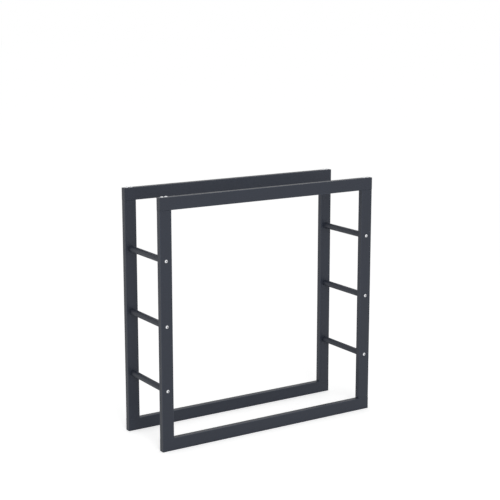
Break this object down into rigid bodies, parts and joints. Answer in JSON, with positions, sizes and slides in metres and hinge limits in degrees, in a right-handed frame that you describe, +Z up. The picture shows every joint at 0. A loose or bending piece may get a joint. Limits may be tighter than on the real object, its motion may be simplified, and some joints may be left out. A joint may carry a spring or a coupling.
{
  "type": "firewood rack",
  "caption": "Free-standing rack of open rectangular tube frames, front and back, joined by round cross rods at each end, for stacking split firewood.",
  "frame": {"origin": "on the floor, at the centre of the rack's footprint", "axes": "+X to the right along the rack as seen from the front, +Y from the front frame to the back frame, +Z up"},
  "size_m": [0.8, 0.256, 0.803],
  "materials": {
    "powder_coat": "anthracite powder coat with a fine matt texture",
    "zinc": "bright zinc plate on the bolts",
    "bare_steel": "plain steel of the welded-in threaded pieces, hidden inside the tubes"
  },
  "bodies": {
    "root": {"back_bottom_corner_bolts": "zinc", "back_bottom_rail": "powder_coat", "back_bottom_rail_left_end_plate": "powder_coat", "back_bottom_rail_right_end_plate": "powder_coat", "back_left_upright": "powder_coat", "back_left_upright_bottom_nut_plate": "bare_steel", "back_left_upright_top_nut_plate": "bare_steel", "back_right_upright": "powder_coat", "back_right_upright_bottom_nut_plate": "bare_steel", "back_right_upright_top_nut_plate": "bare_steel", "back_rod_bolts": "zinc", "back_top_corner_bolts": "zinc", "back_top_rail": "powder_coat", "back_top_rail_left_end_plate": "powder_coat", "back_top_rail_right_end_plate": "powder_coat", "front_bottom_corner_bolts": "zinc", "front_bottom_rail": "powder_coat", "front_bottom_rail_left_end_plate": "powder_coat", "front_bottom_rail_right_end_plate": "powder_coat", "front_left_upright": "powder_coat", "front_left_upright_bottom_nut_plate": "bare_steel", "front_left_upright_top_nut_plate": "bare_steel", "front_right_upright": "powder_coat", "front_right_upright_bottom_nut_plate": "bare_steel", "front_right_upright_top_nut_plate": "bare_steel", "front_rod_bolts": "zinc", "front_top_corner_bolts": "zinc", "front_top_rail": "powder_coat", "front_top_rail_left_end_plate": "powder_coat", "front_top_rail_right_end_plate": "powder_coat", "left_lower_rod": "powder_coat", "left_lower_rod_back_plug": "bare_steel", "left_lower_rod_front_plug": "bare_steel", "left_middle_rod": "powder_coat", "left_middle_rod_back_plug": "bare_steel", "left_middle_rod_front_plug": "bare_steel", "left_upper_rod": "powder_coat", "left_upper_rod_back_plug": "bare_steel", "left_upper_rod_front_plug": "bare_steel", "right_lower_rod": "powder_coat", "right_lower_rod_back_plug": "bare_steel", "right_lower_rod_front_plug": "bare_steel", "right_middle_rod": "powder_coat", "right_middle_rod_back_plug": "bare_steel", "right_middle_rod_front_plug": "bare_steel", "right_upper_rod": "powder_coat", "right_upper_rod_back_plug": "bare_steel", "right_upper_rod_front_plug": "bare_steel"}
  },
  "joints": []
}
